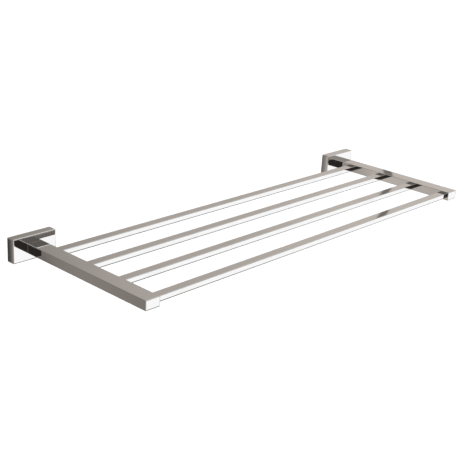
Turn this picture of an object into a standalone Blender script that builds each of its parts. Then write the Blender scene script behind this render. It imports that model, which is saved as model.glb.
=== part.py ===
# Wall-mounted towel rack. Two flat side arms carry four flat cross bars, and each arm is
# screwed to a rosette, a shallow cover that hooks over a wall plate and is locked by a set screw.
#
# Metres, +Z up. The wall is the plane Y = 0 and the rack stands out from it along -Y.
# The origin lies on the wall, midway between the rosettes, at the arms' mid height.

import bmesh
import bpy
from mathutils import Matrix, Vector

MM = 0.001

# The rack as a whole
RACK_WIDTH = 600 * MM             # over the arms' outer faces
RACK_DEPTH = 217 * MM             # from the wall to the arms' front ends

# Side arms: solid flat bar, wider than it is tall
ARM_WIDTH = 20 * MM
ARM_HEIGHT = 12 * MM
ARM_EDGE = 0.4 * MM               # rounding of the long edges and of the front end

# Cross bars: flat bar lying flat, centred in the arms' height; number 1 is nearest the wall
BAR_COUNT = 4
BAR_DEPTH = 12 * MM
BAR_HEIGHT = 7 * MM
BAR_EDGE = 0.8 * MM
FRONT_SETBACK = 4 * MM            # the arms' front ends stand this far ahead of the front bar
REAR_ROOM = 36 * MM               # free space between the wall and the rear bar

# Pegs that locate each bar end in its arm
PEG_DIAMETER = 3 * MM
PEG_DEPTH = 7 * MM                # how far a peg reaches into the bar, and into the arm

# Rosettes: hollow covers, open towards the wall
ROSETTE_WIDTH = 60 * MM
ROSETTE_HEIGHT = 30 * MM
ROSETTE_DEPTH = 12 * MM
ROSETTE_WALL = 1.5 * MM
ROSETTE_FRONT = 2 * MM            # thickness of the front wall, which takes the arm screws
ROSETTE_EDGE = 1 * MM             # rounding of the front edges and the four corners

# Wall plates, hidden in the rosettes
PLATE_END_ROOM = 1.5 * MM         # between the plate's ends and the rosette's side walls
PLATE_EDGE_ROOM = 3.5 * MM        # between its long edges and the rosette's top and bottom walls
PLATE_BEVEL = 1.5 * MM            # seat for the set screw along the lower front edge
WALL_HOLE_DIAMETER = 4.5 * MM
WALL_HOLE_INSET = 8 * MM          # from the plate's end to the hole's middle
COUNTERSINK_DIAMETER = 8.5 * MM

# The hook rib under the rosette's top wall, and the threaded boss on its bottom wall
RIB_WIDTH = 30 * MM
RIB_DEPTH = 2.6 * MM
BOSS_WIDTH = 8 * MM
BOSS_HEIGHT = 1.5 * MM
BOSS_EDGE_ROOM = 0.2 * MM         # the boss stays this far ahead of the wall

# Screws from inside each rosette into its arm
ARM_SCREW_DIAMETER = 4 * MM
ARM_SCREW_SPACING = 9 * MM
ARM_SCREW_REACH = 11 * MM         # thread length inside the arm
ARM_SCREW_HEAD_DIAMETER = 7 * MM
ARM_SCREW_HEAD_HEIGHT = 2.2 * MM
ARM_SCREW_SOCKET = 2.5 * MM       # across the flats
ARM_SCREW_SOCKET_DEPTH = 1.3 * MM
HEAD_ROOM = 2.5 * MM              # between the screw heads and the wall plate

# Set screws that lock the rosettes from below
SET_SCREW_DIAMETER = 4 * MM
SET_SCREW_TIP_DIAMETER = 2.4 * MM
SET_SCREW_RECESS = 0.5 * MM       # how far its lower end sits inside the rosette's underside
SET_SCREW_SOCKET = 2 * MM
SET_SCREW_SOCKET_DEPTH = 2 * MM

# Clearances
GAP = 0.3 * MM                    # between pieces that rest on each other
SLIDE_GAP = 0.3 * MM              # around pegs and screws, on the radius
BORE_RELIEF = 0.5 * MM            # a blind bore is this much deeper than what it holds

ROUND_SEGMENTS = 32
EDGE_SEGMENTS = 3

# Places that follow from the sizes above
ARM_INNER = RACK_WIDTH / 2 - ARM_WIDTH          # distance of the arms' inner faces from X = 0
ARM_MIDDLE = RACK_WIDTH / 2 - ARM_WIDTH / 2
ARM_BACK = -(ROSETTE_DEPTH + GAP)
BAR_END = ARM_INNER - GAP
BAR_PITCH = (RACK_DEPTH - FRONT_SETBACK - BAR_DEPTH - REAR_ROOM) / (BAR_COUNT - 1)
ROSETTE_INSIDE = -(ROSETTE_DEPTH - ROSETTE_FRONT)
CAVITY_WIDTH = ROSETTE_WIDTH - 2 * ROSETTE_WALL
CAVITY_HEIGHT = ROSETTE_HEIGHT - 2 * ROSETTE_WALL
PLATE_WIDTH = CAVITY_WIDTH - 2 * PLATE_END_ROOM
PLATE_HEIGHT = CAVITY_HEIGHT - 2 * PLATE_EDGE_ROOM
PLATE_THICKNESS = -ROSETTE_INSIDE - GAP - ARM_SCREW_HEAD_HEIGHT - HEAD_ROOM
SET_SCREW_Y = -(PLATE_THICKNESS - PLATE_BEVEL / 2)
SIDES = {"left": -1, "right": 1}

FINISHES = {
    "chrome": {"color": (0.78, 0.78, 0.79, 1), "roughness": 0.06, "metallic": 1.0},
    "zinc": {"color": (0.55, 0.57, 0.60, 1), "roughness": 0.38, "metallic": 1.0},
    "steel": {"color": (0.42, 0.42, 0.43, 1), "roughness": 0.30, "metallic": 1.0},
}


def bar_middle(number):
    # Y of a cross bar's centre line, counted from the wall outwards
    return -(REAR_ROOM + BAR_DEPTH / 2 + (number - 1) * BAR_PITCH)


def clear_scene():
    for item in list(bpy.data.objects):
        bpy.data.objects.remove(item, do_unlink=True)


def make_material(name, finish):
    material = bpy.data.materials.new(name)
    material.use_nodes = True
    shader = material.node_tree.nodes["Principled BSDF"]
    shader.inputs["Base Color"].default_value = finish["color"]
    shader.inputs["Roughness"].default_value = finish["roughness"]
    shader.inputs["Metallic"].default_value = finish["metallic"]
    return material


def add_box(bm, low, high):
    low, high = Vector(low), Vector(high)
    place = Matrix.Translation((low + high) / 2) @ Matrix.Diagonal((*(high - low), 1))
    return bmesh.ops.create_cube(bm, size=1, matrix=place)["verts"]


def add_turned(bm, start, direction, profile, sides=ROUND_SEGMENTS):
    # a solid of revolution: profile lists (distance along the axis, radius), both ends flat
    turn = Vector(direction).to_track_quat("Z", "Y").to_matrix().to_4x4()
    place = Matrix.Translation(start) @ turn
    rings = []
    for distance, radius in profile:
        level = place @ Matrix.Translation((0, 0, distance))
        ring = bmesh.ops.create_circle(bm, segments=sides, radius=radius, matrix=level)["verts"]
        rings.append(ring)
    for lower, upper in zip(rings, rings[1:]):
        for i in range(sides):
            j = (i + 1) % sides
            bm.faces.new((lower[i], lower[j], upper[j], upper[i]))
    bm.faces.new(reversed(rings[0]))
    bm.faces.new(rings[-1])


def add_rod(bm, start, direction, length, radius, sides=ROUND_SEGMENTS):
    add_turned(bm, start, direction, [(0, radius), (length, radius)], sides)


def round_edges(bm, radius, choose):
    edges = [e for e in bm.edges if choose(e.verts[0].co, e.verts[1].co)]
    bmesh.ops.bevel(
        bm, geom=edges, offset=radius, segments=EDGE_SEGMENTS, profile=0.5, affect="EDGES"
    )


def finish_object(name, bm, finish=None):
    bmesh.ops.recalc_face_normals(bm, faces=bm.faces)
    mesh = bpy.data.meshes.new(name)
    bm.to_mesh(mesh)
    bm.free()
    mesh.shade_smooth()
    mesh.set_sharp_from_angle(angle=0.6)
    item = bpy.data.objects.new(name, mesh)
    bpy.context.scene.collection.objects.link(item)
    if finish:
        mesh.materials.append(make_material(name, FINISHES[finish]))
    else:
        item.display_type = "WIRE"
        item.hide_render = True
    return item


def combine(item, other, operation):
    modifier = item.modifiers.new(other.name, "BOOLEAN")
    modifier.operation = operation
    modifier.solver = "EXACT"
    modifier.object = other


def across_flats(size):
    # corner radius of a hexagon that is this wide over its flats
    return size / 2 / 0.8660254


def make_arm(side, sign):
    low = (ARM_INNER, -RACK_DEPTH, -ARM_HEIGHT / 2)
    high = (RACK_WIDTH / 2, ARM_BACK, ARM_HEIGHT / 2)
    bm = bmesh.new()
    add_box(bm, low, high)
    # every edge except the four that meet the rosette
    round_edges(bm, ARM_EDGE, lambda a, b: min(a.y, b.y) < ARM_BACK - GAP)
    bmesh.ops.scale(bm, vec=(sign, 1, 1), verts=bm.verts)
    arm = finish_object(f"{side}_arm", bm, "chrome")

    holes = bmesh.new()
    for number in range(1, BAR_COUNT + 1):
        mouth = (sign * (ARM_INNER - GAP), bar_middle(number), 0)
        depth = PEG_DEPTH + GAP + BORE_RELIEF
        add_rod(holes, mouth, (sign, 0, 0), depth, PEG_DIAMETER / 2 + SLIDE_GAP)
    for x in arm_screw_places(sign):
        depth = ARM_SCREW_REACH + GAP + BORE_RELIEF
        radius = ARM_SCREW_DIAMETER / 2 + SLIDE_GAP
        add_rod(holes, (x, ARM_BACK + GAP, 0), (0, -1, 0), depth, radius)
    combine(arm, finish_object(f"cut_{side}_arm", holes), "DIFFERENCE")


def make_crossbar(number):
    middle = bar_middle(number)
    low = (-BAR_END, middle - BAR_DEPTH / 2, -BAR_HEIGHT / 2)
    high = (BAR_END, middle + BAR_DEPTH / 2, BAR_HEIGHT / 2)
    bm = bmesh.new()
    add_box(bm, low, high)
    # only the long edges: the ends butt against the arms
    round_edges(bm, BAR_EDGE, lambda a, b: abs(a.x - b.x) > BAR_END)
    bar = finish_object(f"crossbar_{number}", bm, "chrome")

    holes = bmesh.new()
    for sign in SIDES.values():
        mouth = (sign * ARM_INNER, middle, 0)
        depth = PEG_DEPTH + GAP + BORE_RELIEF
        add_rod(holes, mouth, (-sign, 0, 0), depth, PEG_DIAMETER / 2 + SLIDE_GAP)
    combine(bar, finish_object(f"cut_crossbar_{number}", holes), "DIFFERENCE")


def make_peg(number, side, sign):
    # half of the peg is in the bar, half in the arm; its ends are chamfered
    radius = PEG_DIAMETER / 2
    chamfer = radius / 5
    length = 2 * PEG_DEPTH
    profile = [(0, radius - chamfer), (chamfer, radius), (length - chamfer, radius),
               (length, radius - chamfer)]
    joint = ARM_INNER - GAP / 2
    bm = bmesh.new()
    add_turned(bm, (sign * (joint - PEG_DEPTH), bar_middle(number), 0), (sign, 0, 0), profile)
    finish_object(f"crossbar_{number}_{side}_peg", bm, "steel")


def arm_screw_places(sign):
    return [sign * ARM_MIDDLE + half * ARM_SCREW_SPACING / 2 for half in (-1, 1)]


def make_rosette(side, sign):
    middle = sign * ARM_MIDDLE
    half_width, half_height = ROSETTE_WIDTH / 2, ROSETTE_HEIGHT / 2
    bm = bmesh.new()
    add_box(bm, (middle - half_width, -ROSETTE_DEPTH, -half_height),
            (middle + half_width, 0, half_height))
    # the front outline and the four short corners, but not the rim on the wall
    round_edges(bm, ROSETTE_EDGE, lambda a, b: min(a.y, b.y) < -ROSETTE_DEPTH / 2)
    rosette = finish_object(f"{side}_rosette", bm, "chrome")

    cavity = bmesh.new()
    add_box(cavity, (middle - CAVITY_WIDTH / 2, ROSETTE_INSIDE, -CAVITY_HEIGHT / 2),
            (middle + CAVITY_WIDTH / 2, ROSETTE_WALL, CAVITY_HEIGHT / 2))
    combine(rosette, finish_object(f"cut_{side}_rosette_cavity", cavity), "DIFFERENCE")

    # the rib hangs on the plate's top edge; the boss gives the set screw its thread
    into_wall = ROSETTE_WALL / 2
    top, bottom = CAVITY_HEIGHT / 2, -CAVITY_HEIGHT / 2
    rib_back = -(PLATE_THICKNESS - RIB_DEPTH) / 2
    ribs = bmesh.new()
    add_box(ribs, (middle - RIB_WIDTH / 2, rib_back - RIB_DEPTH, PLATE_HEIGHT / 2 + GAP),
            (middle + RIB_WIDTH / 2, rib_back, top + into_wall))
    add_box(ribs, (middle - BOSS_WIDTH / 2, ROSETTE_INSIDE - into_wall, bottom - into_wall),
            (middle + BOSS_WIDTH / 2, -BOSS_EDGE_ROOM, bottom + BOSS_HEIGHT))
    combine(rosette, finish_object(f"add_{side}_rosette_ribs", ribs), "UNION")

    holes = bmesh.new()
    for x in arm_screw_places(sign):
        start = (x, -ROSETTE_DEPTH - GAP, 0)
        radius = ARM_SCREW_DIAMETER / 2 + SLIDE_GAP
        add_rod(holes, start, (0, 1, 0), ROSETTE_FRONT + 2 * GAP, radius)
    start = (middle, SET_SCREW_Y, -half_height - GAP)
    depth = ROSETTE_WALL + BOSS_HEIGHT + 2 * GAP
    add_rod(holes, start, (0, 0, 1), depth, SET_SCREW_DIAMETER / 2 + SLIDE_GAP)
    combine(rosette, finish_object(f"cut_{side}_rosette_holes", holes), "DIFFERENCE")


def make_wall_plate(side, sign):
    middle = sign * ARM_MIDDLE
    top, bottom = PLATE_HEIGHT / 2, -PLATE_HEIGHT / 2
    outline = [(0, bottom), (0, top), (-PLATE_THICKNESS, top),
               (-PLATE_THICKNESS, bottom + PLATE_BEVEL), (-PLATE_THICKNESS + PLATE_BEVEL, bottom)]
    bm = bmesh.new()
    face = bm.faces.new([bm.verts.new((middle - PLATE_WIDTH / 2, y, z)) for y, z in outline])
    grown = bmesh.ops.extrude_face_region(bm, geom=[face])["geom"]
    moved = [g for g in grown if isinstance(g, bmesh.types.BMVert)]
    bmesh.ops.translate(bm, vec=(PLATE_WIDTH, 0, 0), verts=moved)
    plate = finish_object(f"{side}_wall_plate", bm, "zinc")

    hole, sink = WALL_HOLE_DIAMETER / 2, COUNTERSINK_DIAMETER / 2
    profile = [(-GAP, sink + GAP), (0, sink), (sink - hole, hole), (PLATE_THICKNESS + GAP, hole)]
    holes = bmesh.new()
    for half in (-1, 1):
        x = middle + half * (PLATE_WIDTH / 2 - WALL_HOLE_INSET)
        add_turned(holes, (x, -PLATE_THICKNESS, 0), (0, 1, 0), profile)
    combine(plate, finish_object(f"cut_{side}_wall_plate", holes), "DIFFERENCE")


def make_arm_screws(side, sign):
    # the head's seat is GAP behind the rosette's front wall
    seat = ROSETTE_INSIDE + GAP
    thread, head = ARM_SCREW_DIAMETER / 2, ARM_SCREW_HEAD_DIAMETER / 2
    chamfer = thread / 4
    end = seat - (ARM_BACK - ARM_SCREW_REACH)
    profile = [(-ARM_SCREW_HEAD_HEIGHT, head - chamfer), (-ARM_SCREW_HEAD_HEIGHT + chamfer, head),
               (0, head), (0, thread), (end - chamfer, thread), (end, thread - chamfer)]
    for place, x in zip(("a", "b"), arm_screw_places(sign)):
        bm = bmesh.new()
        add_turned(bm, (x, seat, 0), (0, -1, 0), profile)
        screw = finish_object(f"{side}_arm_screw_{place}", bm, "steel")
        top = seat + ARM_SCREW_HEAD_HEIGHT
        socket = bmesh.new()
        add_rod(socket, (x, top - ARM_SCREW_SOCKET_DEPTH, 0), (0, 1, 0),
                ARM_SCREW_SOCKET_DEPTH + GAP, across_flats(ARM_SCREW_SOCKET), sides=6)
        combine(screw, finish_object(f"cut_{side}_arm_screw_{place}", socket), "DIFFERENCE")


def make_set_screw(side, sign):
    # from just inside the rosette's underside up to the wall plate's lower edge
    foot = -ROSETTE_HEIGHT / 2 + SET_SCREW_RECESS
    length = -PLATE_HEIGHT / 2 - GAP - foot
    radius, tip = SET_SCREW_DIAMETER / 2, SET_SCREW_TIP_DIAMETER / 2
    chamfer = radius / 5
    profile = [(0, radius - chamfer), (chamfer, radius), (length - (radius - tip), radius),
               (length, tip)]
    place = (sign * ARM_MIDDLE, SET_SCREW_Y, foot)
    bm = bmesh.new()
    add_turned(bm, place, (0, 0, 1), profile)
    screw = finish_object(f"{side}_set_screw", bm, "steel")

    socket = bmesh.new()
    below = Vector(place) - Vector((0, 0, GAP))
    add_rod(socket, below, (0, 0, 1), SET_SCREW_SOCKET_DEPTH + GAP,
            across_flats(SET_SCREW_SOCKET), sides=6)
    combine(screw, finish_object(f"cut_{side}_set_screw", socket), "DIFFERENCE")


def main():
    clear_scene()
    for number in range(1, BAR_COUNT + 1):
        make_crossbar(number)
        for side, sign in SIDES.items():
            make_peg(number, side, sign)
    for side, sign in SIDES.items():
        make_arm(side, sign)
        make_rosette(side, sign)
        make_wall_plate(side, sign)
        make_arm_screws(side, sign)
        make_set_screw(side, sign)


main()
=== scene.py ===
# Wall-mounted towel rack in polished chrome: two arms, four cross bars and two hollow rosettes
# that hook over zinc-plated wall plates. Everything is in metres, in the frame of the CAD model.

import math

import bmesh
import bpy
import numpy as np
from mathutils import Matrix, Vector


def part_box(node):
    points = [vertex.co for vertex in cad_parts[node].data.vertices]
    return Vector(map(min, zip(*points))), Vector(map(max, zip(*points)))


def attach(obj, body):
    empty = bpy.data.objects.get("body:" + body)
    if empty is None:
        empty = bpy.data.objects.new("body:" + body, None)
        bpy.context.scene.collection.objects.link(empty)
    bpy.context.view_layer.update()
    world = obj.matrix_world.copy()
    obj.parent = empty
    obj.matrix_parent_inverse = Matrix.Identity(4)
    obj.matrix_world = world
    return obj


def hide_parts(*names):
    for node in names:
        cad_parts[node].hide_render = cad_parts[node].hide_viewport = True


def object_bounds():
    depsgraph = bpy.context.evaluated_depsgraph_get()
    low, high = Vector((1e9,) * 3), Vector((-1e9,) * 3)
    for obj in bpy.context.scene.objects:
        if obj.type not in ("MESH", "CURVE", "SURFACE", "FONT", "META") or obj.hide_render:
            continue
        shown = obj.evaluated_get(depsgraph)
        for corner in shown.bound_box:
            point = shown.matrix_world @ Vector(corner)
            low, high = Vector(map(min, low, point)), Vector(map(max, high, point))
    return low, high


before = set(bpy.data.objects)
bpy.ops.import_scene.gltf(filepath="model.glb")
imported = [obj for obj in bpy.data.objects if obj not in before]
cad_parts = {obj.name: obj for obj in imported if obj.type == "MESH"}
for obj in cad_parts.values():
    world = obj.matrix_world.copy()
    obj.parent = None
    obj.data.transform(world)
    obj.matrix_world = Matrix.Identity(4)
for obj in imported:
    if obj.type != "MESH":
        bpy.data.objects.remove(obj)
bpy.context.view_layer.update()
scene = bpy.context.scene
mm = 0.001
leastRadius = 0.02 * mm                # a corner never gets sharper than this
sharpAngle = 0.6                       # radians between two faces from which an edge is sharp


def rectangleTemplate(cornerSteps, sideSteps, guard):
    # A rounded rectangle with no size yet, counterclockwise. Each row holds (a, b, na, nb): the
    # point is a * (half width - radius) + radius * na across and the same with b upwards, so
    # corners turn on quarter ellipses and sides run straight between them.
    inner = np.linspace(-1 + 4 * guard, 1 - 4 * guard, sideSteps)
    run = np.concatenate([[-1 + guard], inner, [1 - guard]])     # guards keep the flats flat
    turn = np.linspace(0, math.pi / 2, cornerSteps + 1)
    one = np.ones_like(run)
    cornerOne = np.ones_like(turn)
    rows = []
    for quarter in range(4):
        angle = turn + quarter * math.pi / 2
        signA, signB = ((1, 1), (-1, 1), (-1, -1), (1, -1))[quarter]
        rows.append(np.stack([signA * cornerOne, signB * cornerOne,
                              np.cos(angle), np.sin(angle)], 1))
        # the straight run that follows this corner
        runA, runB, normalA, normalB = (
            (-run, one, 0 * one, one),
            (-one, -run, -one, 0 * one),
            (run, -one, 0 * one, -one),
            (one, run, one, 0 * one),
        )[quarter]
        rows.append(np.stack([runA, runB, normalA, normalB], 1))
    return np.concatenate(rows)


def carryRectangle(template, stations, crown=0.0, lowerScale=1.0):
    # One ring for each station (half width, half height, corner radius across, corner radius
    # upwards, distance along the path). The two lower corners can have larger radii. The flats
    # bulge by crown * (1 - t squared), where t runs from -1 to 1 along the flat.
    a, b, na, nb = template.T
    wide, high, radiusA, radiusB, along = np.asarray(stations, float).T[:, :, None]
    scale = np.where(b < 0, lowerScale, 1.0)
    radiusA, radiusB = radiusA * scale, radiusB * scale
    bulge = crown * np.minimum(wide, high) / np.max(np.minimum(wide, high))
    across = a * (wide - radiusA) + na * (radiusA + bulge * (1 - b * b))
    upwards = b * (high - radiusB) + nb * (radiusB + bulge * (1 - a * a))
    return np.stack([across, upwards, along + 0 * across], -1)


def quarterTurn(steps):
    # (distance in from the side, distance short of the end) on a quarter circle of radius 1
    angle = np.linspace(0, math.pi / 2, steps + 1)
    return np.stack([1 - np.cos(angle), 1 - np.sin(angle)], 1)


def closedSkin(rings, startPole, endPole):
    # Quads between neighbouring rings and a fan from each pole. Rings turn counterclockwise
    # about the path's direction, so every face points outwards.
    ringCount, count = rings.shape[:2]
    index = np.arange(ringCount * count).reshape(ringCount, count)
    after = np.roll(index, -1, axis=1)
    quads = np.stack([index[:-1], after[:-1], after[1:], index[1:]], -1).reshape(-1, 4)
    first, last = ringCount * count, ringCount * count + 1
    startFan = np.stack([after[0], index[0], np.full(count, first)], -1)
    endFan = np.stack([index[-1], after[-1], np.full(count, last)], -1)
    points = np.concatenate([rings.reshape(-1, 3), [startPole, endPole]])
    return points, quads.tolist() + startFan.tolist() + endFan.tolist()


def alongY(points, middle):
    # across is X, upwards is Z, and the path runs along -Y
    return np.stack([points[..., 0] + middle[0], -points[..., 2], points[..., 1] + middle[1]], -1)


def alongX(points, middle):
    # across is Y, upwards is Z, and the path runs along +X
    return np.stack([points[..., 2], points[..., 0] + middle[0], points[..., 1] + middle[1]], -1)


def addPiece(name, points, faces, material):
    mesh = bpy.data.meshes.new(name)
    mesh.from_pydata(points.tolist(), [], faces)
    mesh.materials.append(material)
    mesh.shade_smooth()
    mesh.set_sharp_from_angle(angle=sharpAngle)
    mesh.update()
    piece = bpy.data.objects.new(name, mesh)
    scene.collection.objects.link(piece)
    return piece


def endStations(wide, high, corners, edge, spec):
    # From the pole outwards over the end face, then round its edge on a quarter ellipse.
    inset, setback = edge
    turn = quarterTurn(spec["edgeSteps"])[::-1]
    inward, back = turn[:, 0] * inset, turn[:, 1] * setback
    rim = np.stack([wide - inward, high - inward, np.maximum(corners[0] - inward, leastRadius),
                    np.maximum(corners[1] - inward, leastRadius), back], 1)
    return np.concatenate([np.array(spec["faceRings"])[:, None] * rim[0], rim])


def barStations(wide, high, start, end, spec):
    # stations of a straight bar, from one end face along the length to the other
    corners, guard, length = spec["edge"], spec["guard"], end - start
    opening = endStations(wide, high, corners, spec["startEdge"], spec)
    closing = endStations(wide, high, corners, spec["endEdge"], spec)[::-1]
    closing[:, 4] = length - closing[:, 4]
    middle = np.linspace(0, length, spec["lengthSteps"] + 2)[1:-1]
    along = np.concatenate([[guard, 3 * guard], middle, [length - 3 * guard, length - guard]])
    ones = np.ones_like(along)
    body = np.stack([ones * wide, ones * high, ones * corners[0], ones * corners[1], along], 1)
    stations = np.concatenate([opening, body, closing])
    stations[:, 4] += start
    return stations


def addNode(tree, kind, values=None, **settings):
    node = tree.nodes.new(kind)
    for setting, value in settings.items():
        setattr(node, setting, value)
    for socket, value in (values or {}).items():
        node.inputs[socket].default_value = value
    return node


def newGroup(name, inputs, outputs):
    group = bpy.data.node_groups.new(name, "ShaderNodeTree")
    for label, (kind, value) in inputs.items():
        socket = group.interface.new_socket(label, in_out="INPUT", socket_type=kind)
        if value is not None:
            socket.default_value = value
    for label, kind in outputs.items():
        group.interface.new_socket(label, in_out="OUTPUT", socket_type=kind)
    return group, addNode(group, "NodeGroupInput"), addNode(group, "NodeGroupOutput")


def remap(tree, source, fromLow, fromHigh, toLow, toHigh, smooth=True):
    node = addNode(tree, "ShaderNodeMapRange",
                   {"From Min": fromLow, "From Max": fromHigh, "To Min": toLow, "To Max": toHigh},
                   interpolation_type="SMOOTHSTEP" if smooth else "LINEAR")
    tree.links.new(source, node.inputs["Value"])
    return node.outputs["Result"]


def combineValues(tree, operation, first, second):
    node = addNode(tree, "ShaderNodeMath", operation=operation)
    for socket, value in zip(node.inputs, (first, second)):
        if isinstance(value, (int, float)):
            socket.default_value = value
        else:
            tree.links.new(value, socket)
    return node.outputs["Value"]


def mixColours(tree, factor, first, second, blend="MIX"):
    node = addNode(tree, "ShaderNodeMix", data_type="RGBA", blend_type=blend)
    for socket, value in ((node.inputs[0], factor), (node.inputs[6], first),
                          (node.inputs[7], second)):
        if isinstance(value, (int, float, tuple)):
            socket.default_value = value
        else:
            tree.links.new(value, socket)
    return node.outputs[2]


marksSpec = {
    "hazeFrom": (0.46, 0.74),             # noise values between which haze sets in
    "spotEdge": (0.06, 0.16),             # where a water spot ends, in cells
    "spotShare": (0.90, 0.93),            # only cells above this have a spot
    "hairlineFrom": (0.35, 0.65),
}


def buildHandlingGroup():
    # finger haze and dried water spots: a patchy mask from 0, clean, to 1, dull
    group, entry, leave = newGroup(
        "handlingMarks",
        {"Vector": ("NodeSocketVector", None), "Patch Size": ("NodeSocketFloat", 22.0),
         "Spot Size": ("NodeSocketFloat", 260.0)},
        {"Haze": "NodeSocketFloat", "Spots": "NodeSocketFloat"})
    patches = addNode(group, "ShaderNodeTexNoise", {"Detail": 3.0, "Roughness": 0.62})
    group.links.new(entry.outputs["Vector"], patches.inputs["Vector"])
    group.links.new(entry.outputs["Patch Size"], patches.inputs["Scale"])
    haze = remap(group, patches.outputs["Fac"], *marksSpec["hazeFrom"], 0, 1)
    group.links.new(haze, leave.inputs["Haze"])
    spots = addNode(group, "ShaderNodeTexVoronoi", {"Randomness": 1.0})
    group.links.new(entry.outputs["Vector"], spots.inputs["Vector"])
    group.links.new(entry.outputs["Spot Size"], spots.inputs["Scale"])
    ring = remap(group, spots.outputs["Distance"], *marksSpec["spotEdge"], 1, 0)
    rare = addNode(group, "ShaderNodeSeparateColor")
    group.links.new(spots.outputs["Color"], rare.inputs["Color"])
    chosen = remap(group, rare.outputs[0], *marksSpec["spotShare"], 0, 1)
    group.links.new(combineValues(group, "MULTIPLY", ring, chosen), leave.inputs["Spots"])
    return group


def buildPolishGroup():
    # hairlines of the polishing wheel and the faint waviness of plated metal, as heights
    group, entry, leave = newGroup(
        "polishMarks",
        {"Vector": ("NodeSocketVector", None), "Stretch": ("NodeSocketVector", (1.0, 1.0, 1.0)),
         "Fineness": ("NodeSocketFloat", 900.0), "Wave Size": ("NodeSocketFloat", 60.0)},
        {"Hairlines": "NodeSocketFloat", "Waves": "NodeSocketFloat"})
    stretched = addNode(group, "ShaderNodeVectorMath", operation="MULTIPLY")
    group.links.new(entry.outputs["Vector"], stretched.inputs[0])
    group.links.new(entry.outputs["Stretch"], stretched.inputs[1])
    hairs = addNode(group, "ShaderNodeTexNoise", {"Detail": 2.0, "Roughness": 0.55})
    group.links.new(stretched.outputs["Vector"], hairs.inputs["Vector"])
    group.links.new(entry.outputs["Fineness"], hairs.inputs["Scale"])
    hairlines = remap(group, hairs.outputs["Fac"], *marksSpec["hairlineFrom"], 0, 1)
    group.links.new(hairlines, leave.inputs["Hairlines"])
    waves = addNode(group, "ShaderNodeTexNoise", {"Detail": 1.0, "Roughness": 0.4})
    group.links.new(entry.outputs["Vector"], waves.inputs["Vector"])
    group.links.new(entry.outputs["Wave Size"], waves.inputs["Scale"])
    group.links.new(waves.outputs["Fac"], leave.inputs["Waves"])
    return group


handlingGroup = buildHandlingGroup()
polishGroup = buildPolishGroup()


def newMaterial(name):
    material = bpy.data.materials.new(name)
    material.use_nodes = True
    shader = material.node_tree.nodes["Principled BSDF"]
    return material, material.node_tree, shader


def objectCoordinates(tree):
    return addNode(tree, "ShaderNodeTexCoord").outputs["Object"]


def useGroup(tree, group, vector, values):
    node = addNode(tree, "ShaderNodeGroup", node_tree=group)
    tree.links.new(vector, node.inputs["Vector"])
    for socket, value in values.items():
        node.inputs[socket].default_value = value
    return node


def addBump(tree, shader, height, strength, distance, before=None):
    bump = addNode(tree, "ShaderNodeBump", {"Strength": strength, "Distance": distance})
    tree.links.new(height, bump.inputs["Height"])
    if before:
        tree.links.new(before, bump.inputs["Normal"])
    tree.links.new(bump.outputs["Normal"], shader.inputs["Normal"])
    return bump.outputs["Normal"]


chromeFinish = {
    "colour": (0.86, 0.86, 0.86, 1),
    "hazeColour": (0.82, 0.82, 0.82, 1),
    "roughness": (0.035, 0.075),          # clean, hazy
    "spotRoughness": 0.16,
    "castColour": (0.36, 0.35, 0.34, 1),  # unpolished inside of a rosette
    "castRoughness": 0.46,
    "hairlineDepth": 0.0000010,
    "hairlineStrength": 0.6,
    "waveDepth": 0.000004,
}


def makeChrome(name, stretch, hollow=False):
    material, tree, shader = newMaterial(name)
    vector = objectCoordinates(tree)
    marks = useGroup(tree, handlingGroup, vector, {})
    polish = useGroup(tree, polishGroup, vector, {"Stretch": stretch})
    clean, hazy = chromeFinish["roughness"]
    dull = remap(tree, marks.outputs["Haze"], 0, 1, clean, hazy, smooth=False)
    spotted = combineValues(tree, "MULTIPLY", marks.outputs["Spots"], chromeFinish["spotRoughness"])
    roughness = combineValues(tree, "ADD", dull, spotted)
    colour = mixColours(tree, marks.outputs["Haze"], chromeFinish["colour"],
                        chromeFinish["hazeColour"])
    if hollow:
        # 1 on plated faces and 0 on the rough inside, and on ribs and bosses, which lack it
        plated = addNode(tree, "ShaderNodeAttribute", attribute_name="plated").outputs["Fac"]
        colour = mixColours(tree, plated, chromeFinish["castColour"], colour)
        roughness = remap(tree, plated, 0, 1, chromeFinish["castRoughness"], 0, smooth=False)
        roughness = combineValues(tree, "ADD", roughness, combineValues(
            tree, "MULTIPLY", plated, combineValues(tree, "ADD", dull, spotted)))
    shader.inputs["Metallic"].default_value = 1.0
    tree.links.new(colour, shader.inputs["Base Color"])
    tree.links.new(roughness, shader.inputs["Roughness"])
    waves = addBump(tree, shader, polish.outputs["Waves"], 1.0, chromeFinish["waveDepth"])
    addBump(tree, shader, polish.outputs["Hairlines"], chromeFinish["hairlineStrength"],
            chromeFinish["hairlineDepth"], waves)
    return material


zincFinish = {
    "colours": ((0.52, 0.55, 0.58, 1), (0.66, 0.68, 0.69, 1)),
    "tint": (0.60, 0.58, 0.50, 1),        # yellowish bloom of the passivation
    "roughness": (0.28, 0.44),
    "crystalSize": 420.0,
    "patchSize": 60.0,
    "bloom": 0.45,                        # how far the hazy patches take the tint
    "hazeRoughness": 0.1,
    "grainStretch": (0.05, 1.0, 1.0),
    "grainStrength": 0.5,
    "grainDepth": 0.00003,
}


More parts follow.
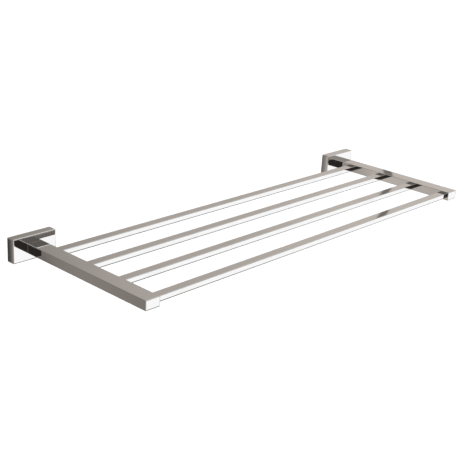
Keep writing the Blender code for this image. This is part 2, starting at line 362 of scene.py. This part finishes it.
def makeZinc():
    material, tree, shader = newMaterial("zincPlating")
    vector = objectCoordinates(tree)
    crystals = addNode(tree, "ShaderNodeTexVoronoi", {"Scale": zincFinish["crystalSize"]})
    tree.links.new(vector, crystals.inputs["Vector"])
    tone = addNode(tree, "ShaderNodeSeparateColor")
    tree.links.new(crystals.outputs["Color"], tone.inputs["Color"])
    marks = useGroup(tree, handlingGroup, vector, {"Patch Size": zincFinish["patchSize"]})
    grain = useGroup(tree, polishGroup, vector, {"Stretch": zincFinish["grainStretch"]})
    colour = mixColours(tree, tone.outputs[0], *zincFinish["colours"])
    bloom = combineValues(tree, "MULTIPLY", marks.outputs["Haze"], zincFinish["bloom"])
    colour = mixColours(tree, bloom, colour, zincFinish["tint"])
    tree.links.new(colour, shader.inputs["Base Color"])
    low, high = zincFinish["roughness"]
    roughness = remap(tree, tone.outputs[1], 0, 1, low, high, smooth=False)
    duller = combineValues(tree, "MULTIPLY", marks.outputs["Haze"], zincFinish["hazeRoughness"])
    tree.links.new(combineValues(tree, "ADD", roughness, duller), shader.inputs["Roughness"])
    shader.inputs["Metallic"].default_value = 1.0
    addBump(tree, shader, grain.outputs["Hairlines"], zincFinish["grainStrength"],
            zincFinish["grainDepth"])
    return material


steelFinish = {
    "colours": ((0.36, 0.35, 0.34, 1), (0.50, 0.49, 0.48, 1)),
    "roughness": (0.22, 0.36),
    "patchSize": 320.0,
    "grainStretch": (1.0, 1.0, 0.2),
    "grainFineness": 2600.0,
    "grainStrength": 0.5,
    "grainDepth": 0.00001,
}


def makeSteel():
    material, tree, shader = newMaterial("fastenerSteel")
    vector = objectCoordinates(tree)
    marks = useGroup(tree, handlingGroup, vector, {"Patch Size": steelFinish["patchSize"]})
    grain = useGroup(tree, polishGroup, vector, {"Stretch": steelFinish["grainStretch"],
                                                 "Fineness": steelFinish["grainFineness"]})
    tree.links.new(mixColours(tree, marks.outputs["Haze"], *steelFinish["colours"]),
                   shader.inputs["Base Color"])
    low, high = steelFinish["roughness"]
    tree.links.new(remap(tree, grain.outputs["Hairlines"], 0, 1, low, high, smooth=False),
                   shader.inputs["Roughness"])
    shader.inputs["Metallic"].default_value = 1.0
    addBump(tree, shader, grain.outputs["Hairlines"], steelFinish["grainStrength"],
            steelFinish["grainDepth"])
    return material


chromeAlongY = makeChrome("chromeArm", (1.0, 0.04, 1.0))
chromeAlongX = makeChrome("chromeBar", (0.04, 1.0, 1.0))
chromeRosette = makeChrome("chromeRosette", (0.3, 1.0, 1.0), hollow=True)
zincPlating = makeZinc()
fastenerSteel = makeSteel()
print("materials: chrome for arms, bars and rosettes, zinc plating, fastener steel")


armSpec = {
    "edge": (0.5 * mm, 0.5 * mm),          # long edges, across and upwards
    "startEdge": (0.04 * mm, 0.04 * mm),   # cut square where it sits on the rosette
    "endEdge": (1.1 * mm, 0.5 * mm),       # front edge, inwards and backwards
    "crown": 0.012 * mm,                   # how much a face bulges in its middle
    "edgeSteps": 6,
    "sideSteps": 9,
    "sideGuard": 0.02,                     # extra points beside a corner, in half flats
    "faceRings": [0.12, 0.5, 0.86, 0.97],  # rings over an end face, as shares of its size
    "guard": 1.2 * mm,                     # extra rings this far, and thrice, from an end
    "lengthSteps": 40,
    "reachBack": 0.3 * mm,                 # the arm's back end sits hard on the rosette
}


def makeArm(side):
    low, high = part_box(f"{side}_arm")
    crown = armSpec["crown"]
    wide, tall = (high[0] - low[0]) / 2 - crown, (high[2] - low[2]) / 2 - crown
    middle = ((low[0] + high[0]) / 2, (low[2] + high[2]) / 2)
    stations = barStations(wide, tall, -high[1] - armSpec["reachBack"], -low[1], armSpec)
    template = rectangleTemplate(armSpec["edgeSteps"], armSpec["sideSteps"], armSpec["sideGuard"])
    rings = carryRectangle(template, stations, crown)
    poles = np.array([[0, 0, stations[0][4]], [0, 0, stations[-1][4]]])
    points, faces = closedSkin(alongY(rings, middle), *alongY(poles, middle))
    piece = addPiece(f"{side}_arm_bar", points, faces, chromeAlongY)
    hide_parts(f"{side}_arm")
    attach(piece, "root")


for side in ("left", "right"):
    makeArm(side)
print("arms: two flat bars with rounded edges")


barSpec = {
    "edge": (0.45 * mm, 0.60 * mm),        # upper long edges, across and upwards
    "lowerScale": 2.6,                     # the lower long edges are rounded this much more
    "startEdge": (0.04 * mm, 0.04 * mm),   # cut square, butting against the arms
    "endEdge": (0.04 * mm, 0.04 * mm),
    "crown": 0.008 * mm,
    "edgeSteps": 8,
    "sideSteps": 9,
    "sideGuard": 0.02,
    "faceRings": [0.12, 0.5, 0.86, 0.97],
    "guard": 0.6 * mm,
    "lengthSteps": 60,
    "count": 4,
}


def makeCrossbar(number):
    low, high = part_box(f"crossbar_{number}")
    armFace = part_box("right_arm")[0][0]
    crown = barSpec["crown"]
    wide, tall = (high[1] - low[1]) / 2 - crown, (high[2] - low[2]) / 2 - crown
    middle = ((low[1] + high[1]) / 2, (low[2] + high[2]) / 2)
    stations = barStations(wide, tall, -armFace, armFace, barSpec)
    template = rectangleTemplate(barSpec["edgeSteps"], barSpec["sideSteps"], barSpec["sideGuard"])
    rings = carryRectangle(template, stations, crown, barSpec["lowerScale"])
    poles = np.array([[0, 0, stations[0][4]], [0, 0, stations[-1][4]]])
    points, faces = closedSkin(alongX(rings, middle), *alongX(poles, middle))
    piece = addPiece(f"cross_bar_{number}", points, faces, chromeAlongX)
    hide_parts(f"crossbar_{number}")
    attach(piece, "root")


for number in range(1, barSpec["count"] + 1):
    makeCrossbar(number)
print("cross bars: four flat bars between the arms")


rosetteSpec = {
    "wall": 1.5 * mm,
    "front": 2.0 * mm,
    "corner": 1.0 * mm,                # the four short corners
    "edge": (1.2 * mm, 0.8 * mm),      # round the front face: inwards, backwards
    "rimEdge": 0.5 * mm,               # round the rim on the wall
    "innerCorner": 0.6 * mm,
    "barrel": 0.08 * mm,               # how much the outer walls bulge between wall and front
    "dome": 0.01 * mm,                 # how much the front bulges
    "edgeSteps": 8,
    "wallSteps": 12,
    "innerSteps": 8,
    "faceRings": [0.1, 0.3, 0.5, 0.7, 0.85, 0.95, 0.985],
    "sideSteps": 14,
    "sideGuard": 0.012,
}


def rosetteStations(wide, tall, depth, spec):
    # The section of the hollow cover as stations: from the pole inside its front wall, along
    # the inside to the rim, round the rim and forward over the outside to the front pole.
    # The last number is how far a station stands in front of the wall. The outer wall follows
    # a parabola, widest in its middle.
    wall, corner, inner = spec["wall"], spec["corner"], spec["innerCorner"]
    inset, setback = spec["edge"]
    rim, barrel = spec["rimEdge"], spec["barrel"]
    innerRimEdge = rim / 3
    turn = quarterTurn(spec["edgeSteps"])
    shrink = np.array(spec["faceRings"])[:, None]

    def ringsAt(narrower, radius, along):
        radius = np.maximum(radius + 0 * along, leastRadius)
        return np.stack([wide - narrower + 0 * along, tall - narrower + 0 * along,
                         radius, radius, along], 1)

    inside = depth - spec["front"]
    innerEdge = ringsAt(wall + turn[::-1, 0] * inner, inner, inside - turn[::-1, 1] * inner)
    innerFace = shrink * [1, 1, 1, 1, 0] * innerEdge[0] + [0, 0, 0, 0, inside]
    innerWall = ringsAt(wall, inner,
                        np.linspace(inside - inner, innerRimEdge, spec["innerSteps"])[1:])
    innerRim = ringsAt(wall - turn[1:, 0] * innerRimEdge, inner, turn[1:, 1] * innerRimEdge)
    along = np.linspace(rim, depth - setback, spec["wallSteps"])
    sag = barrel * np.linspace(-1, 1, len(along)) ** 2
    outerRim = ringsAt(barrel + turn[::-1, 0] * rim, corner, turn[::-1, 1] * rim)[:-1]
    outerWall = ringsAt(sag, corner, along)
    outerEdge = ringsAt(barrel + turn[1:, 0] * inset, corner - turn[1:, 0] * inset,
                        depth - spec["dome"] - turn[1:, 1] * setback)
    dome = spec["dome"] * (1 - shrink[::-1, 0] ** 2)
    outerFace = shrink[::-1] * [1, 1, 1, 1, 0] * outerEdge[-1]
    outerFace[:, 4] = depth - spec["dome"] + dome
    parts = (innerFace, innerEdge, innerWall, innerRim, outerRim, outerWall, outerEdge, outerFace)
    # plated from the rim outwards: 0 on the first four parts, 1 on the others
    plated = np.concatenate([np.full(len(part), float(place > 3))
                             for place, part in enumerate(parts)])
    return np.concatenate(parts), plated


def cutRound(piece, start, direction, length, radius):
    # a round hole, cut for good
    cutter = bmesh.new()
    bmesh.ops.create_cone(cutter, cap_ends=True, segments=fittingSpec["holeSides"],
                          radius1=radius, radius2=radius, depth=length)
    turn = Vector(direction).to_track_quat("Z", "Y").to_matrix().to_4x4()
    centre = Vector(start) + Vector(direction) * length / 2
    bmesh.ops.transform(cutter, matrix=Matrix.Translation(centre) @ turn, verts=cutter.verts)
    cutterMesh = bpy.data.meshes.new("cutter")
    cutter.to_mesh(cutterMesh)
    cutter.free()
    tool = bpy.data.objects.new("cutter", cutterMesh)
    scene.collection.objects.link(tool)
    modifier = piece.modifiers.new("hole", "BOOLEAN")
    modifier.operation = "DIFFERENCE"
    modifier.solver = "EXACT"
    modifier.object = tool
    bpy.context.view_layer.update()
    finished = bpy.data.meshes.new_from_object(
        piece.evaluated_get(bpy.context.evaluated_depsgraph_get()))
    finished.set_sharp_from_angle(angle=sharpAngle)
    piece.modifiers.remove(modifier)
    piece.data = finished
    bpy.data.objects.remove(tool, do_unlink=True)


def makeRosette(side):
    low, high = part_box(f"{side}_rosette")
    wide, tall, depth = (high[0] - low[0]) / 2, (high[2] - low[2]) / 2, high[1] - low[1]
    middle = ((low[0] + high[0]) / 2, (low[2] + high[2]) / 2)
    template = rectangleTemplate(rosetteSpec["edgeSteps"], rosetteSpec["sideSteps"],
                                 rosetteSpec["sideGuard"])
    stations, plated = rosetteStations(wide, tall, depth, rosetteSpec)
    rings = carryRectangle(template, stations)
    poles = np.array([[0, 0, stations[0][4]], [0, 0, depth]])
    points, faces = closedSkin(alongY(rings, middle), *alongY(poles, middle))
    piece = addPiece(f"{side}_rosette_cover", points, faces, chromeRosette)
    values = np.concatenate([np.repeat(plated, len(template)), [0.0, 1.0]])
    piece.data.attributes.new("plated", "FLOAT", "POINT").data.foreach_set("value", values)
    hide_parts(f"{side}_rosette")
    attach(piece, "root")


for side in ("left", "right"):
    makeRosette(side)
print("rosettes: two hollow covers")


fittingSpec = {
    "plateEdge": 0.3 * mm,
    "screwEdge": 0.12 * mm,
    "edgeSteps": 2,
    "joinWithin": 0.002 * mm,          # corners of loose triangles closer than this are one
    "flatWithin": 0.02,                # radians: flatter edges are dissolved
    "roundFrom": 32.0,                 # degrees: sharper edges are rounded
    "copySharp": 0.7,                  # radians from which an edge is shaded sharp
    "blockSharp": 0.9,
    "ribEdge": 0.35 * mm,
    "ribSteps": 3,
    "bossWidth": 8.0 * mm,
    "bossHeight": 1.5 * mm,
    "bossSetback": 0.2 * mm,           # the boss stays this far ahead of the wall
    "ribWidth": 30.0 * mm,
    "ribDepth": 2.6 * mm,
    "ribRoom": 0.3 * mm,               # between the rib and the plate it hangs on
    "threadRoom": 0.3 * mm,            # round the set screw, on the radius
    "holeSides": 48,
}


def roundedBlock(name, low, high, radius, material):
    # a block with all its edges rounded
    shape = bmesh.new()
    middle, size = (Vector(low) + Vector(high)) / 2, Vector(high) - Vector(low)
    place = Matrix.Translation(middle) @ Matrix.Diagonal((*size, 1))
    bmesh.ops.create_cube(shape, size=1, matrix=place)
    bmesh.ops.bevel(shape, geom=shape.edges, offset=radius, segments=fittingSpec["ribSteps"],
                    profile=0.5, affect="EDGES")
    mesh = bpy.data.meshes.new(name)
    shape.to_mesh(mesh)
    shape.free()
    mesh.materials.append(material)
    mesh.shade_smooth()
    mesh.set_sharp_from_angle(angle=fittingSpec["blockSharp"])
    piece = bpy.data.objects.new(name, mesh)
    scene.collection.objects.link(piece)
    return piece


def softenedCopy(nodeName, pieceName, radius, material):
    # the node's own solid with its loose triangles joined and its sharp edges rounded
    shape = bmesh.new()
    shape.from_mesh(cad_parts[nodeName].data)
    spec = fittingSpec
    bmesh.ops.remove_doubles(shape, verts=shape.verts, dist=spec["joinWithin"])
    bmesh.ops.dissolve_limit(shape, angle_limit=spec["flatWithin"], verts=shape.verts,
                             edges=shape.edges)
    sharp = [edge for edge in shape.edges
             if edge.is_manifold and edge.calc_face_angle() > math.radians(spec["roundFrom"])]
    bmesh.ops.bevel(shape, geom=sharp, offset=radius, segments=spec["edgeSteps"],
                    profile=0.5, affect="EDGES", clamp_overlap=True)
    mesh = bpy.data.meshes.new(pieceName)
    shape.to_mesh(mesh)
    shape.free()
    mesh.materials.clear()
    mesh.materials.append(material)
    mesh.shade_smooth()
    mesh.set_sharp_from_angle(angle=spec["copySharp"])
    piece = bpy.data.objects.new(pieceName, mesh)
    scene.collection.objects.link(piece)
    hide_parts(nodeName)
    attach(piece, "root")


def makeFittings(side):
    rosetteLow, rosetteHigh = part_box(f"{side}_rosette")
    plateLow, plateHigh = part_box(f"{side}_wall_plate")
    screwLow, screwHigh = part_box(f"{side}_set_screw")
    middle = (rosetteLow[0] + rosetteHigh[0]) / 2
    wall, spec = rosetteSpec["wall"], fittingSpec
    into = wall / 2
    ribMiddle, half = (plateLow[1] + plateHigh[1]) / 2, spec["ribDepth"] / 2
    rib = roundedBlock(
        f"{side}_hook_rib",
        (middle - spec["ribWidth"] / 2, ribMiddle - half, plateHigh[2] + spec["ribRoom"]),
        (middle + spec["ribWidth"] / 2, ribMiddle + half, rosetteHigh[2] - into),
        spec["ribEdge"], chromeRosette)
    boss = roundedBlock(
        f"{side}_screw_boss",
        (middle - spec["bossWidth"] / 2, rosetteLow[1] + rosetteSpec["front"] - into,
         rosetteLow[2] + into),
        (middle + spec["bossWidth"] / 2, rosetteHigh[1] - spec["bossSetback"],
         rosetteLow[2] + wall + spec["bossHeight"]),
        spec["ribEdge"], chromeRosette)
    hole = ((screwLow[0] + screwHigh[0]) / 2, (screwLow[1] + screwHigh[1]) / 2,
            rosetteLow[2] - wall)
    radius = (screwHigh[0] - screwLow[0]) / 2 + spec["threadRoom"]
    # from outside the cover, far enough to pass through each piece's wall
    cutRound(boss, hole, (0, 0, 1), 4 * wall, radius)
    cutRound(bpy.data.objects[f"{side}_rosette_cover"], hole, (0, 0, 1), 3 * wall, radius)
    for piece in (rib, boss):
        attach(piece, "root")
    softenedCopy(f"{side}_wall_plate", f"{side}_hanger_plate", spec["plateEdge"], zincPlating)
    for kind in ("arm_screw_a", "arm_screw_b", "set_screw"):
        softenedCopy(f"{side}_{kind}", f"{side}_{kind}_body", spec["screwEdge"], fastenerSteel)
    for number in range(1, barSpec["count"] + 1):
        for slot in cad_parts[f"crossbar_{number}_{side}_peg"].material_slots:
            slot.material = fastenerSteel


for side in ("left", "right"):
    makeFittings(side)
print("fittings: hook ribs, screw bosses, wall plates, screws and pegs")


studio = {
    # (degrees round from the wall's normal +Y towards +X, brightness 0 to 1 as displayed)
    "upper": [(-180, 0.60), (-155, 0.95), (-130, 0.80), (-100, 0.55), (-75, 0.42), (-60, 0.37),
              (-35, 0.39), (-10, 0.50), (33, 0.52), (37, 0.60), (42, 0.665), (48, 0.68),
              (53, 0.73), (62, 0.76), (80, 0.76), (100, 0.68), (120, 0.62), (126, 0.58),
              (143, 0.37), (165, 0.45), (180, 0.60)],
    "lower": [(-180, 0.88), (-154, 0.85), (-150, 0.165), (-116, 0.165), (-112, 0.50), (-80, 0.62),
              (-62, 0.65), (-58, 0.71), (-55.8, 0.73), (-54.4, 0.56), (-49, 0.40), (-44, 0.47),
              (-40, 0.51), (-37, 0.525), (-35, 0.36), (-31, 0.22), (-15, 0.30), (15, 0.44),
              (50, 0.44), (80, 0.32), (110, 0.32), (116, 1.04), (150, 1.04), (158, 0.90),
              (180, 0.88)],
    "warmth": (0.032, -0.028),            # added to red and blue in the mid tones
    "horizonBlend": 5.0,                  # degrees each side of level
    "overhead": [(-180, 0.62), (-60, 0.55), (0, 0.60), (40, 0.72), (62, 1.04), (135, 1.04),
                 (160, 0.80), (180, 0.62)],
    "overheadFrom": (31.0, 41.0),         # degrees of height where it fades in
    "skirt": [(-180, 0.50), (15, 0.46), (38, 0.34), (150, 0.34), (165, 0.50), (180, 0.50)],
    "skirtFrom": (-26.8, -30.5),
    "below": 0.62,
    "belowFrom": (-52.0, -72.0),
    "stand": 0.44,                        # a thin upright stand between the soft boxes
    "standSides": (56.45, 57.15),         # degrees round
    "standFade": 0.15,                    # degrees over which its sides fade
    "standFoot": 0.05,                    # it fades in over this much height above level
    "floorDrop": 1.2,
    "floorReach": 20.0,
    "floorColour": (0.84, 0.866, 0.897, 1),
    "floorRoughness": 0.9,
    "lampPower": 2.6,
    "lampSoftness": 70.0,                 # degrees across, as wide as an overcast patch of sky
}


def displayToLinear(level):
    # the usual curve of a display, undone
    return level / 12.92 if level <= 0.04045 else ((level + 0.055) / 1.055) ** 2.4


def studioColour(level):
    # warmest in the mid tones, less so towards black, and neutral at white
    fade = max(0.0, min(1.0, (1.0 - level) * 4))
    fade *= min(1.0, 0.25 + level)
    warm, cool = studio["warmth"]
    shades = (level + warm * fade, level, level + cool * fade)
    return (*[displayToLinear(max(shade, 0.0)) for shade in shades], 1)


def addRing(tree, position, stops):
    # brightness all the way round, as a colour ramp
    ramp = addNode(tree, "ShaderNodeValToRGB")
    elements = ramp.color_ramp.elements
    elements.remove(elements[1])
    for index, (angle, level) in enumerate(stops):
        place = (angle + 180) / 360
        element = elements[0] if index == 0 else elements.new(place)
        element.position = place
        element.color = studioColour(level)
    tree.links.new(position, ramp.inputs["Fac"])
    return ramp.outputs["Color"]


def makeStudio():
    world = bpy.data.worlds.new("studio")
    scene.world = world
    world.use_nodes = True
    tree = world.node_tree
    tree.nodes.clear()
    direction = addNode(tree, "ShaderNodeTexCoord").outputs["Generated"]
    axes = addNode(tree, "ShaderNodeSeparateXYZ")
    tree.links.new(direction, axes.inputs["Vector"])
    x, y, z = (axes.outputs[axis] for axis in "XYZ")
    azimuth = combineValues(tree, "ARCTAN2", x, y)
    position = remap(tree, azimuth, -math.pi, math.pi, 0, 1, smooth=False)
    upper = addRing(tree, position, studio["upper"])
    lower = addRing(tree, position, studio["lower"])
    blend = math.sin(math.radians(studio["horizonBlend"]))
    sides = mixColours(tree, remap(tree, z, -blend, blend, 0, 1), lower, upper)
    for part in ("overhead", "skirt", "below"):
        start, end = (math.sin(math.radians(angle)) for angle in studio[part + "From"])
        band = studio[part]
        band = studioColour(band) if isinstance(band, float) else addRing(tree, position, band)
        sides = mixColours(tree, remap(tree, z, start, end, 0, 1), sides, band)
    standLeft, standRight = studio["standSides"]
    degrees = combineValues(tree, "MULTIPLY", azimuth, 180 / math.pi)
    stand = combineValues(
        tree, "MULTIPLY", remap(tree, degrees, standLeft, standLeft + studio["standFade"], 0, 1),
        remap(tree, degrees, standRight - studio["standFade"], standRight, 1, 0))
    foot = remap(tree, z, 0.0, studio["standFoot"], 0, 1)
    stand = combineValues(tree, "MULTIPLY", stand, foot)
    sides = mixColours(tree, stand, sides, studioColour(studio["stand"]))
    path = addNode(tree, "ShaderNodeLightPath")
    seen = mixColours(tree, path.outputs["Is Camera Ray"], sides, (1, 1, 1, 1))
    background = addNode(tree, "ShaderNodeBackground")
    tree.links.new(seen, background.inputs["Color"])
    output = addNode(tree, "ShaderNodeOutputWorld")
    tree.links.new(background.outputs["Background"], output.inputs["Surface"])

    floorMesh = bpy.data.meshes.new("studio_floor")
    reach = studio["floorReach"]
    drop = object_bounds()[0][2] - studio["floorDrop"]
    floorMesh.from_pydata([(-reach, -reach, drop), (reach, -reach, drop), (reach, reach, drop),
                           (-reach, reach, drop)], [], [(0, 1, 2, 3)])
    floorMaterial, floorTree, shader = newMaterial("palePaper")
    shader.inputs["Base Color"].default_value = studio["floorColour"]
    shader.inputs["Roughness"].default_value = studio["floorRoughness"]
    floorMesh.materials.append(floorMaterial)
    floor = bpy.data.objects.new("studio_floor", floorMesh)
    scene.collection.objects.link(floor)
    floor.visible_glossy = False          # the metal mirrors the studio's own ring of light

    lamp = bpy.data.lights.new("overhead_lamp", "SUN")
    lamp.energy = studio["lampPower"]
    lamp.angle = math.radians(studio["lampSoftness"])
    lampObject = bpy.data.objects.new("overhead_lamp", lamp)
    scene.collection.objects.link(lampObject)
    lampObject.visible_glossy = False
    lampObject.visible_camera = False
    scene.view_settings.view_transform = "Standard"


makeStudio()
print("studio: ring of light, pale floor and overhead lamp")


cameraSpec = {
    "place": (-0.9163, -0.8933, 0.4271),
    "heading": 47.469,         # degrees from +Y towards +X
    "dip": 20.368,             # degrees below level
    "tilt": 3.277,             # degrees of roll
    "lens": 76.45,             # millimetres, as the sensor
    "sensor": 36.0,
    "farthest": 100.0,
}


def makeCamera():
    heading, dip, tilt = (math.radians(cameraSpec[key]) for key in ("heading", "dip", "tilt"))
    forward = Vector((math.sin(heading) * math.cos(dip), math.cos(heading) * math.cos(dip),
                      -math.sin(dip)))
    level = Vector((math.cos(heading), -math.sin(heading), 0))
    upright = level.cross(forward)
    right = level * math.cos(tilt) + upright * math.sin(tilt)
    up = upright * math.cos(tilt) - level * math.sin(tilt)
    data = bpy.data.cameras.new("camera")
    data.lens = cameraSpec["lens"]
    data.sensor_width = cameraSpec["sensor"]
    data.clip_end = cameraSpec["farthest"]
    item = bpy.data.objects.new("camera", data)
    turn = Matrix((right, up, -forward)).transposed().to_4x4()
    item.matrix_world = Matrix.Translation(cameraSpec["place"]) @ turn
    scene.collection.objects.link(item)
    scene.camera = item


makeCamera()
print("camera: from the left, a little above")
